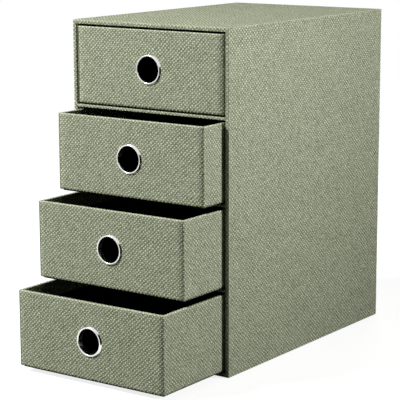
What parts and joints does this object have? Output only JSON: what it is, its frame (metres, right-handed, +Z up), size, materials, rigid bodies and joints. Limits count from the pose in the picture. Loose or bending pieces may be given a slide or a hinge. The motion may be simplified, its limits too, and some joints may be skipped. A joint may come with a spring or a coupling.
{
  "type": "desktop drawer organizer",
  "caption": "Cloth-covered board cabinet for a desk with a stack of open-top drawers, each pulled by a round metal-rimmed finger hole in its front.",
  "frame": {"origin": "the middle of the case's underside", "axes": "+Z up, -Y out of the case's open front, the way the drawers are pulled, and +X to the right as seen from the front"},
  "size_m": [0.139, 0.2869, 0.25],
  "materials": {
    "board": "matte",
    "cloth": "matte",
    "lining": "matte",
    "eyelet": "polished"
  },
  "bodies": {
    "case": {"case_top_board": "board", "case_bottom_board": "board", "case_left_board": "board", "case_right_board": "board", "case_back_board": "board", "case_cloth_wrap": "cloth", "case_back_panel": "cloth", "case_base_sheet": "lining", "shelf_1_board": "board", "shelf_1_edging": "cloth", "shelf_2_board": "board", "shelf_2_edging": "cloth", "shelf_3_board": "board", "shelf_3_edging": "cloth", "bay_1_lining": "lining", "bay_2_lining": "lining", "bay_3_lining": "lining", "bay_4_lining": "lining"},
    "drawer_1": {"drawer_1_front_board": "board", "drawer_1_back_board": "board", "drawer_1_left_board": "board", "drawer_1_right_board": "board", "drawer_1_base_board": "board", "drawer_1_cloth_wrap": "cloth", "drawer_1_base_sheet": "lining", "drawer_1_lining": "lining", "drawer_1_eyelet": "eyelet", "drawer_1_eyelet_washer": "eyelet"},
    "drawer_2": {"drawer_2_front_board": "board", "drawer_2_back_board": "board", "drawer_2_left_board": "board", "drawer_2_right_board": "board", "drawer_2_base_board": "board", "drawer_2_cloth_wrap": "cloth", "drawer_2_base_sheet": "lining", "drawer_2_lining": "lining", "drawer_2_eyelet": "eyelet", "drawer_2_eyelet_washer": "eyelet"},
    "drawer_3": {"drawer_3_front_board": "board", "drawer_3_back_board": "board", "drawer_3_left_board": "board", "drawer_3_right_board": "board", "drawer_3_base_board": "board", "drawer_3_cloth_wrap": "cloth", "drawer_3_base_sheet": "lining", "drawer_3_lining": "lining", "drawer_3_eyelet": "eyelet", "drawer_3_eyelet_washer": "eyelet"},
    "drawer_4": {"drawer_4_front_board": "board", "drawer_4_back_board": "board", "drawer_4_left_board": "board", "drawer_4_right_board": "board", "drawer_4_base_board": "board", "drawer_4_cloth_wrap": "cloth", "drawer_4_base_sheet": "lining", "drawer_4_lining": "lining", "drawer_4_eyelet": "eyelet", "drawer_4_eyelet_washer": "eyelet"}
  },
  "joints": [
    {"name": "drawer_1_slide", "type": "slide", "parent": "case", "child": "drawer_1", "axis": [0, -1, 0], "range_m": [0, 0.18]},
    {"name": "drawer_2_slide", "type": "slide", "parent": "case", "child": "drawer_2", "axis": [0, -1, 0], "range_m": [-0.0237, 0.1563]},
    {"name": "drawer_3_slide", "type": "slide", "parent": "case", "child": "drawer_3", "axis": [0, -1, 0], "range_m": [-0.0474, 0.1326]},
    {"name": "drawer_4_slide", "type": "slide", "parent": "case", "child": "drawer_4", "axis": [0, -1, 0], "range_m": [-0.0711, 0.1089]}
  ]
}
